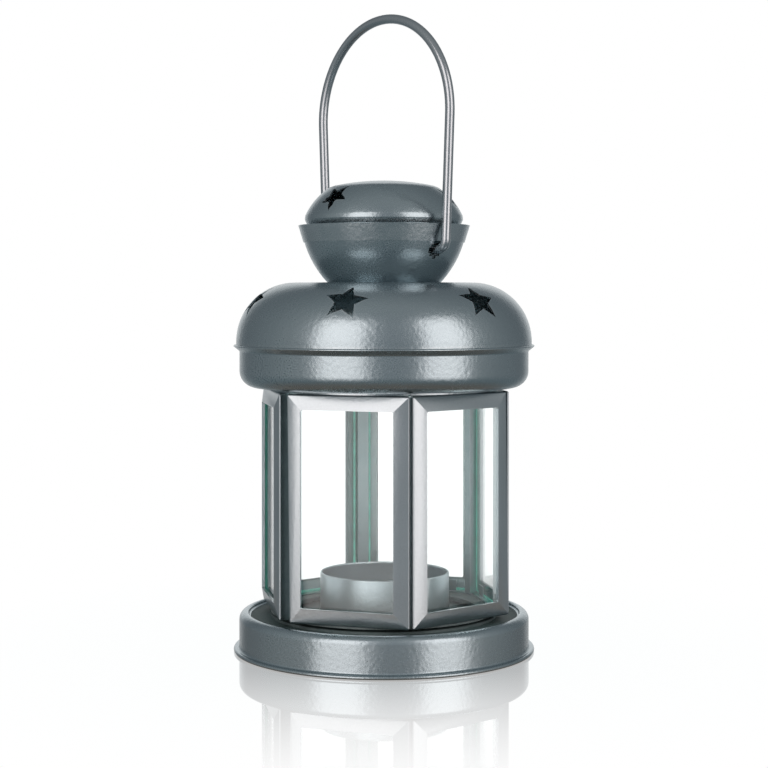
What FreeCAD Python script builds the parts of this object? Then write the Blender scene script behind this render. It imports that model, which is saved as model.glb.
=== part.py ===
"""Candle lantern: a round foot with a tealight cup, a six-sided glazed cage, a domed hood and a bail handle.

Millimetres, +Z up. The origin is the middle of the foot's underside. +X runs along the handle's swing
axis, which is also the middle of one window. Every shell is sheet metal, drawn as the path of its outer
face and given its thickness to the inner side.
"""
import FreeCAD, Part
import os
from math import acos, atan2, cos, degrees, hypot, radians, sin, sqrt, tan

Vector = FreeCAD.Vector
UP = Vector(0, 0, 1)

# Sheet stock
SHEET = 0.6              # foot, cup, hood and cap
FRAME_SHEET = 0.5        # window frames
RING_SHEET = 0.8         # lock ring
GLASS_THICKNESS = 2.0
BEND_INSIDE = 0.05       # inside radius of a tight bend in the foot, hood and rings
FRAME_BEND_INSIDE = 0.3

# Foot
FOOT_MARGIN = 3.6        # from the cage's corners to the foot's wall
FOOT_FLANGE = 1.8        # how far the hemmed flange stands out from the wall
FOOT_HEIGHT = 12.8
FOOT_SHOULDER_BEND = 2.5
FOOT_RIM_LAND = 0.05     # flat top of the rim, between its outer and inner bends
WELL_LAND = 0.1          # straight wall of the well, between its upper and lower bends

# Tealight cup
TEALIGHT_R = 19.5
TEALIGHT_CLEARANCE = 0.8
CUP_HEIGHT = 14.7
RIVET_R = 2.4
RIVET_BRIM = 1.8         # how far each head stands out from the shank
RIVET_HEAD = 0.6

# Bayonet between foot and cage
SLOT_COUNT = 6
LUG_COUNT = 3
SLOT_INSET = 2.3         # from the rings' outer edge in to the middle of the slots in the foot
SLOT_WIDTH = 3.4
LUG_NECK = 5.0           # length round the slot
LUG_FOOT = 8.0           # length hooked under the foot's floor
LUG_THICKNESS = 1.2
LUG_CLEARANCE = 0.4
RING_WIDTH = 7.5
RING_RISE = 0.8          # height of the lock ring's raised inner land
RING_GAP = 0.1           # running gap between the lock ring and the floor
FOOT_RING_SHEET = 0.6

# Cage
CAGE_SIDE = 44.2         # side of the hexagon, and its corner radius
SEAM = 2.6               # how much narrower than its side each frame is
FRAME_HEIGHT = 72.2
FRAME_DEPTH = 4.2
STILE = 5.4
RAIL = 5.4
WINDOW_CORNER = 1.0
FRAME_SHIFTS = (-0.4, 0.5, -0.3, 0.3, -0.8, 1.0)   # how far each hand-set frame is off its side's middle
PANE_GAP = 0.1
TAB_WIDTH = 6.0          # glazing tabs
TAB_REACH = 4.2
TOP_RING_HEIGHT = 0.8

# Hood
HOOD_MARGIN = 3.6        # from the cage's corners to the hood pan's wall
HOOD_PAN_HEIGHT = 14.0   # from its floor to the edge of its flared lip
HOOD_PAN_BEND = 5.4
HOOD_FLARE_HEIGHT = 3.2
HOOD_LIP = 2.0           # how far the flared lip stands out from the pan's wall
DOME_STEP = 1.0          # how much wider than the pan's wall the dome is
DOME_BEND = 19.4
DOME_SKIRT = 1.5         # straight wall below the dome's bend
DOME_STAR_COUNT = 6
DOME_STAR_R = 6.3
DOME_STAR_ANGLE = 45.0   # up from the horizontal, round the dome's bend
DOME_STAR_TURN = 3.0     # round the lantern from the window middles
STAR_WAIST = 0.45        # inner corner radius over point radius
STAR_LEAN = -10.0         # turn of each star, anticlockwise seen from outside

# Cap
NECK_R = 18.0
NECK_BORE_R = 14.0
NECK_FLANGE = 2.6
BOWL_R = 25.9
BOWL_HEIGHT = 13.6
BOWL_BULGE_R = 32.8
BAND_STEP = 1.0
BAND_FLARE = 1.0
BAND_HEIGHT = 5.3
CAP_CLEARANCE = 0.2      # between the cap dome's skirt and the bowl's band
CAP_SKIRT = 6.4          # straight wall inside the bowl's band
CAP_SHOULDER_R = 10.2
CAP_RISE = 13.1
CAP_STAR_COUNT = 3
CAP_STAR_R = 3.9
CAP_STAR_ANGLE = 54.0
CAP_STAR_TURN = 32.0

# Handle
WIRE_R = 1.55
WIRE_HOLE_CLEARANCE = 0.6
PIVOT_HEIGHT = 10.7      # above the underside of the bowl
HANDLE_LIP_GAP = 0.5     # between a leg and the widest part of the band
ARCH_R = 32.0
HANDLE_REACH = 76.5      # from the pivot to the middle of the wire at the top of the arch
HANDLE_BEND = 3.2
WIRE_TAIL = 3.6          # how far the wire reaches in past the bowl's wall

# Derived sizes, radii and levels
TIGHT_BEND = SHEET + BEND_INSIDE
RING_BEND = RING_SHEET + BEND_INSIDE
FRAME_BEND = FRAME_SHEET + FRAME_BEND_INSIDE
FRAME_WIDTH = CAGE_SIDE - SEAM
FOOT_WALL_R = CAGE_SIDE + FOOT_MARGIN
HOOD_WALL_R = CAGE_SIDE + HOOD_MARGIN
DOME_R = HOOD_WALL_R + DOME_STEP
CAP_R = BOWL_R + BAND_STEP - SHEET - CAP_CLEARANCE
RIVET_HEAD_R = RIVET_R + RIVET_BRIM
FLANGE_R = FOOT_WALL_R + FOOT_FLANGE
RIM_INNER_R = FOOT_WALL_R - FOOT_SHOULDER_BEND - FOOT_RIM_LAND - TIGHT_BEND
FLOOR_Z = FOOT_HEIGHT - WELL_LAND - 2 * TIGHT_BEND
CUP_R = TEALIGHT_R + TEALIGHT_CLEARANCE
RING_Z = FLOOR_Z + RING_GAP
LAND_Z = RING_Z + RING_SHEET + RING_RISE
CAGE_Z = LAND_Z + FOOT_RING_SHEET
CAGE_TOP_Z = CAGE_Z + FRAME_HEIGHT
APOTHEM = CAGE_SIDE * cos(radians(30))
RING_OUTER_R = APOTHEM - FRAME_BEND
RING_INNER_R = RING_OUTER_R - RING_WIDTH
SLOT_R = RING_OUTER_R - SLOT_INSET
HOOD_Z = CAGE_TOP_Z + TOP_RING_HEIGHT
LIP_Z = HOOD_Z + HOOD_PAN_HEIGHT
LIP_R = HOOD_WALL_R + HOOD_LIP
FLARE_Z = LIP_Z - HOOD_FLARE_HEIGHT
BOWL_TOP_R = BOWL_R + BAND_STEP + BAND_FLARE


def point(radius, height):
    return Vector(radius, 0, height)


def bent_path(*corners):
    """Edges of a path through (radius, height, bend radius) corners, each corner rounded by its bend."""
    places = [point(radius, height) for radius, height, _ in corners]
    edges = []
    start = places[0]
    for before, here, after, corner in zip(places, places[1:], places[2:], corners[1:]):
        bend = corner[2]
        if bend > 0:
            arriving = (here - before).normalize()
            leaving = (after - here).normalize()
            half_turn = arriving.getAngle(leaving) / 2
            back = bend * tan(half_turn)
            inward = (leaving - arriving).normalize()
            first = here - arriving * back
            last = here + leaving * back
            middle = here + inward * (bend / cos(half_turn) - bend)
            edges.append(Part.LineSegment(start, first).toShape())
            edges.append(Part.Arc(first, middle, last).toShape())
            start = last
        else:
            edges.append(Part.LineSegment(start, here).toShape())
            start = here
    edges.append(Part.LineSegment(start, places[-1]).toShape())
    return edges


def line(first, last):
    return Part.LineSegment(first, last).toShape()


def turned_arc(centre, radius, first, last):
    """Arc of a profile round a centre, between two angles in degrees up from the horizontal."""
    def at(angle):
        return centre + Vector(cos(radians(angle)), 0, sin(radians(angle))) * radius
    return Part.Arc(at(first), at((first + last) / 2), at(last)).toShape()


def bulged_arc(first, last, radius):
    """Arc from first to last that bulges to the right of the way from one to the other."""
    chord = last - first
    side = Vector(chord.z, 0, -chord.x).normalize()
    rise = radius - sqrt(radius * radius - chord.Length ** 2 / 4)
    return Part.Arc(first, (first + last) * 0.5 + side * rise, last).toShape()


def spun(face, angle=360.0):
    return face.revolve(Vector(0, 0, 0), UP, angle)


def plain_edge(edge):
    """The same edge as one straight line or one circle arc through three of its points."""
    first, last = edge.ParameterRange
    if edge.Curve.TypeId == "Part::GeomLine":
        return line(edge.valueAt(first), edge.valueAt(last))
    return Part.Arc(edge.valueAt(first), edge.valueAt((first + last) / 2), edge.valueAt(last)).toShape()


def sheet_section(edges, thickness):
    """Section of a sheet whose outer face follows the edges and whose metal lies to their left."""
    outline = Part.Wire(edges).makeOffset2D(thickness, 0, True, True, False).OuterWire
    return Part.Face(Part.Wire([plain_edge(edge) for edge in outline.OrderedEdges]))


def pressed_shell(edges):
    return spun(sheet_section(edges, SHEET))


def washer(inner, outer, bottom, height):
    return sector(inner, outer, bottom, height, 0.0, 360.0)


def sector(inner, outer, bottom, height, start, span):
    """Flat piece of a ring, from a start angle round through span degrees."""
    section = Part.makePolygon([point(inner, bottom), point(outer, bottom), point(outer, bottom + height),
                                point(inner, bottom + height), point(inner, bottom)])
    piece = spun(Part.Face(section), span)
    piece.rotate(Vector(0, 0, 0), UP, start)
    return piece


def turned(shape, angle):
    copy = shape.copy()
    copy.rotate(Vector(0, 0, 0), UP, angle)
    return copy


def joined(shapes):
    return shapes[0].multiFuse(shapes[1:]).removeSplitter()


def star_cutter(place, slope, radius, lean):
    """Five-pointed punch whose middle is at place, square to a surface that rises at slope degrees."""
    corners = []
    for step in range(11):
        reach = radius * (1.0 if step % 2 == 0 else STAR_WAIST)
        angle = radians(90 + lean + 36 * step)
        corners.append(Vector(0, reach * cos(angle), reach * sin(angle)))
    punch = Part.Face(Part.makePolygon(corners)).extrude(Vector(4 * SHEET, 0, 0))
    punch.translate(Vector(-2 * SHEET, 0, 0))
    punch.rotate(Vector(0, 0, 0), Vector(0, 1, 0), -slope)
    punch.translate(place)
    return punch


def bayonet_angles():
    """Angles of the lug's neck, its hooked foot and the twist that frees it, in degrees."""
    neck = degrees(LUG_NECK / SLOT_R)
    hook = degrees(LUG_FOOT / SLOT_R)
    play = degrees(LUG_CLEARANCE / SLOT_R)
    return neck, hook, play, hook + 2 * play


def base_pan():
    hem = 2 * SHEET
    skin = pressed_shell(bent_path(
        (FLANGE_R - SHEET, hem, 0), (FOOT_WALL_R, hem, TIGHT_BEND),
        (FOOT_WALL_R, FOOT_HEIGHT, FOOT_SHOULDER_BEND), (RIM_INNER_R, FOOT_HEIGHT, TIGHT_BEND),
        (RIM_INNER_R, FLOOR_Z, TIGHT_BEND), (RIVET_R, FLOOR_Z, 0)))
    inner = FOOT_WALL_R - SHEET
    hem_face = Part.Face(Part.Wire([
        line(point(inner, 0), point(FLANGE_R - SHEET, 0)),
        turned_arc(point(FLANGE_R - SHEET, SHEET), SHEET, -90, 90),
        line(point(FLANGE_R - SHEET, hem), point(inner, hem)), line(point(inner, hem), point(inner, 0))]))
    pan = joined([skin, spun(hem_face)])
    neck, hook, play, twist = bayonet_angles()
    slot = sector(SLOT_R - SLOT_WIDTH / 2, SLOT_R + SLOT_WIDTH / 2, FLOOR_Z - 2 * SHEET, 3 * SHEET,
                  -play, neck + twist + 2 * play)
    return pan.cut([turned(slot, step * 360 / SLOT_COUNT) for step in range(SLOT_COUNT)])


def candle_cup():
    outer = CUP_R + SHEET
    rim_z = FLOOR_Z + CUP_HEIGHT
    return pressed_shell(bent_path((RIVET_R, FLOOR_Z, 0), (outer, FLOOR_Z, 2 * SHEET), (outer, rim_z, 0)))


def cup_rivet():
    """Solid rivet: a low head in the cup and a closed head under the foot's floor."""
    shank = FLOOR_Z - SHEET
    stack = 2 * SHEET
    body = Part.makeCylinder(RIVET_R, stack, Vector(0, 0, shank))
    top = Part.makeCylinder(RIVET_HEAD_R, RIVET_HEAD, Vector(0, 0, shank + stack))
    top = top.makeFillet(RIVET_HEAD / 2, [top.Edges[0]])
    bottom = Part.makeCylinder(RIVET_HEAD_R, RIVET_HEAD, Vector(0, 0, shank - RIVET_HEAD))
    return joined([body, top, bottom])


def lock_ring():
    """Dished ring that lies on the foot's floor, with lugs that hook under the floor."""
    outer_z = RING_Z + RING_SHEET
    step_r = SLOT_R - SLOT_WIDTH / 2
    ring = spun(sheet_section(bent_path(
        (RING_OUTER_R, outer_z, 0), (step_r, outer_z, RING_BEND),
        (step_r - RING_RISE, LAND_Z, RING_BEND), (RING_INNER_R, LAND_Z, 0)), RING_SHEET))
    neck, hook, play, twist = bayonet_angles()
    foot_top = FLOOR_Z - SHEET - LUG_CLEARANCE
    foot_z = foot_top - RING_SHEET
    half_foot = SLOT_WIDTH / 2 - LUG_CLEARANCE
    lug_neck = sector(SLOT_R - LUG_THICKNESS / 2, SLOT_R + LUG_THICKNESS / 2, foot_z,
                      RING_Z + RING_SHEET / 2 - foot_z, 0, neck)
    lug_foot = sector(SLOT_R - half_foot, SLOT_R + half_foot, foot_z, RING_SHEET, -hook, neck + hook)
    parts = [ring]
    for step in range(LUG_COUNT):
        parts.append(turned(lug_neck, step * 360 / LUG_COUNT))
        parts.append(turned(lug_foot, step * 360 / LUG_COUNT))
    return joined(parts)


def tray(width, height, depth, bend):
    """Block with its face at y = 0, leaning ends that meet the next frame's, and a rounded face edge."""
    lean = depth * tan(radians(30))
    corners = [Vector(-width / 2, 0, 0), Vector(width / 2, 0, 0), Vector(width / 2 - lean, -depth, 0),
               Vector(lean - width / 2, -depth, 0), Vector(-width / 2, 0, 0)]
    block = Part.Face(Part.makePolygon(corners)).extrude(Vector(0, 0, height))
    face_edges = [edge for edge in block.Edges if edge.BoundBox.YMin > -depth / 100]
    return block.makeFillet(bend, face_edges)


def inner_width(depth):
    """Width between a frame's end walls at some depth behind its face."""
    return FRAME_WIDTH - 2 * (depth * tan(radians(30)) + FRAME_SHEET / cos(radians(30)))


def window_frame(side):
    """One pressed frame, with its face in the plane y = 0 and its foot at z = 0."""
    outside = tray(FRAME_WIDTH, FRAME_HEIGHT, FRAME_DEPTH, FRAME_BEND)
    inside = tray(inner_width(FRAME_SHEET), FRAME_HEIGHT - 2 * FRAME_SHEET, FRAME_DEPTH,
                  FRAME_BEND - FRAME_SHEET)
    inside.translate(Vector(0, -FRAME_SHEET, FRAME_SHEET))
    window = Part.makeBox(FRAME_WIDTH - 2 * STILE, 3 * FRAME_SHEET, FRAME_HEIGHT - 2 * RAIL,
                          Vector(STILE - FRAME_WIDTH / 2, -2 * FRAME_SHEET, RAIL))
    corners = [edge for edge in window.Edges if edge.BoundBox.YLength > FRAME_SHEET]
    window = window.makeFillet(WINDOW_CORNER, corners)
    return joined([outside.cut([inside, window])] + glazing_tabs() + seam_lip(side))


def glazing_tabs():
    """Tabs bent over the pane's back from a frame's lower and upper flanges."""
    back = FRAME_SHEET + 2 * PANE_GAP + GLASS_THICKNESS
    return [Part.makeBox(TAB_WIDTH, FRAME_SHEET, TAB_REACH,
                         Vector(across * FRAME_WIDTH / 4 - TAB_WIDTH / 2, -back - FRAME_SHEET, height))
            for across in (-1, 1) for height in (0, FRAME_HEIGHT - TAB_REACH)]


def seam_lip(side):
    """Lip on a frame's end wall that passes behind the next frame's end wall and closes the seam."""
    half_gap = (CAGE_SIDE - FRAME_WIDTH) / 2
    own = (half_gap - FRAME_SHIFTS[side]) * cos(radians(30))
    other = (half_gap + FRAME_SHIFTS[(side + 1) % 6]) * cos(radians(30))
    widest = half_gap + max(abs(shift) for shift in FRAME_SHIFTS)
    clear = FRAME_DEPTH / cos(radians(30)) + FRAME_SHEET * tan(radians(30)) + PANE_GAP
    depth = widest * sin(radians(30)) + clear + FRAME_SHEET
    foot = FRAME_SHEET + PANE_GAP
    height = FRAME_HEIGHT - 2 * foot
    lip = Part.makeBox(own + other + 2 * FRAME_SHEET, FRAME_SHEET, height,
                       Vector(-other - FRAME_SHEET, -depth, foot))
    wall = Part.makeBox(FRAME_SHEET, depth - FRAME_DEPTH, height, Vector(own, -depth, foot))
    for plate in (lip, wall):
        plate.rotate(Vector(0, 0, 0), UP, 30)
        plate.translate(Vector(FRAME_SHIFTS[side] - CAGE_SIDE / 2, 0, 0))
    return [lip, wall]


def glass_pane():
    """Flat pane that lies behind a frame's face, held by the frame's tabs."""
    back = FRAME_SHEET + PANE_GAP + GLASS_THICKNESS
    width = inner_width(back) - 2 * PANE_GAP
    height = FRAME_HEIGHT - 2 * (FRAME_SHEET + PANE_GAP)
    return Part.makeBox(width, GLASS_THICKNESS, height, Vector(-width / 2, -back, FRAME_SHEET + PANE_GAP))


def on_side(shape, side):
    """Place a frame or pane on one side of the hexagon; side 0 faces +X."""
    copy = shape.copy()
    copy.translate(Vector(-FRAME_SHIFTS[side], APOTHEM, CAGE_Z))
    copy.rotate(Vector(0, 0, 0), UP, 60 * side - 90)
    return copy


def hood_pan():
    return pressed_shell(bent_path(
        (RING_INNER_R, HOOD_Z, 0), (HOOD_WALL_R, HOOD_Z, HOOD_PAN_BEND),
        (HOOD_WALL_R, FLARE_Z, TIGHT_BEND), (LIP_R, LIP_Z, 0)))


def dome_levels():
    """Heights of the foot of the dome's skirt, where it rests in the flared lip, and of its bend's centre."""
    flare = Vector(HOOD_LIP, 0, HOOD_FLARE_HEIGHT)
    across = SHEET * flare.Length / flare.z
    foot = FLARE_Z + (DOME_R - HOOD_WALL_R + across) * flare.z / flare.x
    return foot, foot + DOME_SKIRT


def dome_top():
    return dome_levels()[1] + DOME_BEND


def hood_dome():
    foot, bend_z = dome_levels()
    centre = point(DOME_R - DOME_BEND, bend_z)
    shell = pressed_shell([
        line(point(DOME_R, foot), point(DOME_R, bend_z)), turned_arc(centre, DOME_BEND, 0, 90),
        line(point(DOME_R - DOME_BEND, dome_top()), point(NECK_BORE_R, dome_top()))])
    place = centre + Vector(cos(radians(DOME_STAR_ANGLE)), 0, sin(radians(DOME_STAR_ANGLE))) * DOME_BEND
    punch = star_cutter(place, DOME_STAR_ANGLE, DOME_STAR_R, STAR_LEAN)
    turns = [DOME_STAR_TURN + step * 360 / DOME_STAR_COUNT for step in range(DOME_STAR_COUNT)]
    return shell.cut([turned(punch, turn) for turn in turns])


def neck_eyelet():
    """Hollow rivet through the dome's top and the bowl's floor, flanged at both ends."""
    bore = NECK_BORE_R - PANE_GAP
    low = dome_top() - SHEET
    stack = 2 * SHEET
    tube = washer(bore - SHEET, bore, low - SHEET, stack + 2 * SHEET)
    lower = washer(bore - SHEET, bore + NECK_FLANGE, low - SHEET, SHEET)
    upper = washer(bore - SHEET, bore + NECK_FLANGE, low + stack, SHEET)
    return joined([tube, lower, upper])


def pivot_z():
    return dome_top() + PIVOT_HEIGHT


def cap_bowl():
    bottom = dome_top()
    top = bottom + BOWL_HEIGHT
    shell = pressed_shell([
        line(point(NECK_BORE_R, bottom), point(NECK_R, bottom)),
        bulged_arc(point(NECK_R, bottom), point(BOWL_R, top), BOWL_BULGE_R),
        line(point(BOWL_R, top), point(BOWL_R + BAND_STEP, top)),
        line(point(BOWL_R + BAND_STEP, top), point(BOWL_TOP_R, top + BAND_HEIGHT))])
    hole = Part.makeCylinder(WIRE_R + WIRE_HOLE_CLEARANCE, 2 * BOWL_TOP_R,
                             Vector(-BOWL_TOP_R, 0, pivot_z()), Vector(1, 0, 0))
    return shell.cut(hole)


def cap_dome():
    """Domed head: a straight skirt, a shoulder arc and a shallow crown that meets it smoothly."""
    foot = dome_top() + BOWL_HEIGHT + SHEET
    shoulder_z = foot + CAP_SKIRT
    shoulder = point(CAP_R - CAP_SHOULDER_R, shoulder_z)
    drop = CAP_RISE - CAP_SHOULDER_R
    between = (shoulder.x ** 2 + drop ** 2) / (2 * drop)
    crown_r = between + CAP_SHOULDER_R
    crown = point(0, shoulder_z + CAP_RISE - crown_r)
    meet = degrees(acos(shoulder.x / between))
    shell = pressed_shell([
        line(point(CAP_R, foot), point(CAP_R, shoulder_z)),
        turned_arc(shoulder, CAP_SHOULDER_R, 0, meet), turned_arc(crown, crown_r, meet, 90)])
    aim = radians(CAP_STAR_ANGLE)
    punch = star_cutter(shoulder + Vector(cos(aim), 0, sin(aim)) * CAP_SHOULDER_R, CAP_STAR_ANGLE,
                        CAP_STAR_R, STAR_LEAN)
    turns = [CAP_STAR_TURN + step * 360 / CAP_STAR_COUNT for step in range(CAP_STAR_COUNT)]
    return shell.cut([turned(punch, turn) for turn in turns])


def wire_handle():
    """Bail: two legs that lean out a little to a round arch, with ends turned in through the bowl."""
    leg_x = BOWL_TOP_R + HANDLE_LIP_GAP + WIRE_R
    low = pivot_z()
    rise = HANDLE_REACH - ARCH_R
    lean = atan2(rise, leg_x) - acos(ARCH_R / hypot(leg_x, rise))
    arch_z = low + rise
    tangent = point(ARCH_R * cos(lean), arch_z - ARCH_R * sin(lean))
    tail = BOWL_R - WIRE_TAIL
    right = bent_path((tail, low, 0), (leg_x, low, HANDLE_BEND), (tangent.x, tangent.z, 0))
    arch = Part.Arc(tangent, point(0, arch_z + ARCH_R), point(-tangent.x, tangent.z)).toShape()
    left = [edge.mirror(Vector(0, 0, 0), Vector(1, 0, 0)) for edge in right]
    path = Part.Wire(Part.sortEdges(right + [arch] + left)[0])
    section = Part.Face(Part.Wire(Part.Circle(point(tail, low), Vector(1, 0, 0), WIRE_R).toShape()))
    return path.makePipe(section)


def lantern():
    pieces = {
        "base_pan": base_pan(),
        "candle_cup": candle_cup(),
        "cup_rivet": cup_rivet(),
        "lock_ring": lock_ring(),
        "cage_foot_ring": washer(RING_INNER_R, RING_OUTER_R, LAND_Z, FOOT_RING_SHEET),
        "cage_top_ring": washer(RING_INNER_R, RING_OUTER_R, CAGE_TOP_Z, TOP_RING_HEIGHT),
        "hood_pan": hood_pan(),
        "hood_dome": hood_dome(),
        "neck_eyelet": neck_eyelet(),
        "cap_bowl": cap_bowl(),
        "cap_dome": cap_dome(),
        "wire_handle": wire_handle(),
    }
    for side in range(6):
        pieces[f"window_frame_{side + 1}"] = on_side(window_frame(side), side)
        pieces[f"glass_pane_{side + 1}"] = on_side(glass_pane(), side)
    return pieces


os.makedirs("parts", exist_ok=True)
for name, shape in lantern().items():
    shape.exportStep(f"parts/{name}.step")
    print(name, len(shape.Solids), shape.isValid(), round(shape.Volume, 1), shape.optimalBoundingBox())
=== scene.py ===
"""Candle lantern: pressed metal shells, glazed cage, hood, cap and bail, laid out as a Blender add-on."""

from math import atan2, copysign, cos, degrees, exp, pi, radians, sin, sqrt, tan

import bmesh
import bpy
from bpy.props import FloatProperty, FloatVectorProperty, IntProperty, PointerProperty
from bpy.types import Operator, Panel, PropertyGroup
from mathutils import Matrix, Vector


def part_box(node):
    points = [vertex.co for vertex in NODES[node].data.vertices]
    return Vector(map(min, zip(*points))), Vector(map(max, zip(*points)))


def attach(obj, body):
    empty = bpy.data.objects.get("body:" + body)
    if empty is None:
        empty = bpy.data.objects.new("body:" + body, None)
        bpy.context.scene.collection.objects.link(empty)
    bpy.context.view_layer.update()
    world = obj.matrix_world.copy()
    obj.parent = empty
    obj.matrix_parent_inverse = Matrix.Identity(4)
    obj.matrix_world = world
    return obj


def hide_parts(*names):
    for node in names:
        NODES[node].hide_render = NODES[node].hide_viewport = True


bl_info = {
    "name": "Candle Lantern",
    "version": (1, 0, 0),
    "blender": (4, 5, 0),
    "location": "View3D > Sidebar > Lantern",
    "description": "Builds the visible pieces of a candle lantern round its packed frame",
    "category": "Add Mesh",
}

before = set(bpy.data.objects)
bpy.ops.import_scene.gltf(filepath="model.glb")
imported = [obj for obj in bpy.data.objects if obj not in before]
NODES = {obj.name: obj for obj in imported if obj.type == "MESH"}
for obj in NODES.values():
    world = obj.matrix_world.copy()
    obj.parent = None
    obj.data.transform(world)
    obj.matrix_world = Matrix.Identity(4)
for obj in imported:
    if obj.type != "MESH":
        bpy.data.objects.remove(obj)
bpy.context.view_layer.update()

UP = Vector((0, 0, 1))
ACROSS = Vector((0, 1, 0))
SIDES = 6
SIDE_TURN = 360 / SIDES
FULL_TURN = 2 * pi
MM = 0.001
WELD = MM / 1000


class LanternFinish(PropertyGroup):
    """Colours and surface grain of the paint and the glass."""
    hammered: FloatVectorProperty(
        name="Hammered paint", description="Colour of the foot, cup, hood and cap", subtype="COLOR",
        default=(0.385, 0.455, 0.485), min=0, max=1)
    frames: FloatVectorProperty(
        name="Frame paint", description="Colour of the window frames", subtype="COLOR",
        default=(0.49, 0.545, 0.57), min=0, max=1)
    wire: FloatVectorProperty(
        name="Wire paint", description="Colour of the bail", subtype="COLOR",
        default=(0.45, 0.485, 0.51), min=0, max=1)
    # Painted shade: a dark colour for the sunk floor inside the lantern and the fittings in the gap under the
    # cage.
    painted_shade: FloatVectorProperty(
        name="Shade paint", description="Colour of the sunk floor under the candle", subtype="COLOR",
        default=(0.085, 0.130, 0.130), min=0, max=1)
    # Painted shade: a darker copy of the frame paint for the frames' inward faces.
    inside: FloatVectorProperty(
        name="Inside paint", description="Colour of the frames' inner side", subtype="COLOR",
        default=(0.24, 0.325, 0.34), min=0, max=1)
    # Painted highlight: a near-white colour laid in patches along convex edges.
    edge_highlight: FloatVectorProperty(
        name="Edge highlight", description="Colour of the painted highlight along convex edges", subtype="COLOR",
        default=(0.80, 0.82, 0.82), min=0, max=1)
    glass_edge: FloatVectorProperty(
        name="Glass edge", description="Colour seen through the cut edges of the panes", subtype="COLOR",
        default=(0.14, 0.52, 0.42), min=0, max=1)
    grain_cells: FloatProperty(
        name="Grain cells", description="Hammer dimples to a metre", default=720, min=50)
    grain_depth: FloatProperty(
        name="Grain depth", description="Height of the hammered grain", default=0.045 * MM, unit="LENGTH")


class LanternSheet(PropertyGroup):
    """Sheet metal sizes of the spun and pressed pieces."""
    gauge: FloatProperty(
        name="Gauge", description="Thickness of the pressed sheet", default=0.55 * MM, unit="LENGTH")
    frame_gauge: FloatProperty(
        name="Frame gauge", description="Thickness of the window frames", default=0.5 * MM, unit="LENGTH")
    tight_bend: FloatProperty(
        name="Tight bend", description="Outside radius of a tight bend", default=0.65 * MM, unit="LENGTH")
    edge_round: FloatProperty(
        name="Edge round", description="Rounding of cut edges", default=0.1 * MM, unit="LENGTH")
    turns: IntProperty(
        name="Turn steps", description="Steps round a spun shell", default=216, min=24)
    bend_steps: IntProperty(name="Bend steps", description="Steps in a tight bend", default=5, min=1)


class LanternStudio(PropertyGroup):
    """Camera and lamps."""
    camera_distance: FloatProperty(
        name="Camera distance", description="From the lantern's axis, level", default=0.590, unit="LENGTH")
    camera_height: FloatProperty(
        name="Camera height", description="Above the floor", default=0.119, unit="LENGTH")
    camera_turn: FloatProperty(
        name="Camera turn", description="Direction of the camera from the axis", default=radians(-40.9),
        unit="ROTATION")
    lens: FloatProperty(name="Lens", description="Focal length in millimetres", default=83.4, min=1)
    frame_shift: FloatProperty(
        name="Frame shift", description="Vertical shift that frames the lantern", default=-0.1237)
    lamp_distance: FloatProperty(
        name="Lamp distance", description="Of the soft boxes from the axis", default=1.3, unit="LENGTH")
    lamp_power: FloatProperty(name="Lamp power", description="Of each soft box", default=5.2, unit="POWER")


# Shapes -------------------------------------------------------------------------------------------

CUT_ANGLE = 60                                    # degrees; a sharper edge than this is a cut edge
WANDER = ((1.0, 2, 1), (0.6, 5, 2), (0.4, 9, -1))  # share, lobes round a shell, steps of its phase
DENT_EDGE = 3                                     # a dent ends at this many times its reach
PUNCH_EDGE = 1.4                                  # faces are cut within this many times a hole's reach
STAR_POINTS = 5
STAR_WAIST = 0.47                                 # inner corners of a star, as a share of its points


def outwards(angle):
    """Level direction away from the axis at an angle from +x."""
    return Vector((cos(angle), sin(angle), 0))


def start_profile(radius, height):
    """A bmesh with one vertex where a profile starts, and that vertex."""
    bm = bmesh.new()
    return bm, bm.verts.new((radius, 0, height))


def run_to(bm, last, radius, height):
    """Carry a profile straight on to a radius and height."""
    place = bm.verts.new((radius, 0, height))
    bm.edges.new((last, place))
    return place


def swing(bm, last, centre, turn, steps):
    """Carry a profile round a centre, counter-clockwise for a positive turn in degrees."""
    made = bmesh.ops.spin(
        bm, geom=[last], cent=(centre[0], 0, centre[1]), axis=ACROSS, angle=-radians(turn), steps=steps,
        use_merge=False)
    return [item for item in made["geom_last"] if isinstance(item, bmesh.types.BMVert)][0]


def bulge_to(bm, last, radius, height, curve, steps):
    """Carry a profile on to a radius and height along an arc that bulges to the right of the way."""
    first = Vector((last.co.x, last.co.z))
    chord = Vector((radius, height)) - first
    side = Vector((-chord.y, chord.x)).normalized()
    to_centre = sqrt(curve ** 2 - chord.length_squared / 4)
    turn = 2 * degrees(atan2(chord.length / 2, to_centre))
    return swing(bm, last, first + chord / 2 + side * to_centre, turn, steps)


def round_corner(bm, corner, radius, steps):
    """Round one corner of a profile to a bend of that radius."""
    before, after = [edge.other_vert(corner).co - corner.co for edge in corner.link_edges]
    reach = radius * tan((pi - before.angle(after)) / 2)
    bmesh.ops.bevel(
        bm, geom=[corner], offset=reach, offset_type="OFFSET", segments=steps, profile=0.5,
        affect="VERTICES", material=-1, clamp_overlap=False)


def spin_shell(bm, turns):
    """Spin a profile into an open skin whose faces point outwards."""
    bmesh.ops.spin(
        bm, geom=bm.verts[:] + bm.edges[:], cent=(0, 0, 0), axis=UP, angle=FULL_TURN, steps=turns,
        use_merge=True)
    bmesh.ops.remove_doubles(bm, verts=bm.verts[:], dist=WELD)
    bmesh.ops.recalc_face_normals(bm, faces=bm.faces[:])


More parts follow.
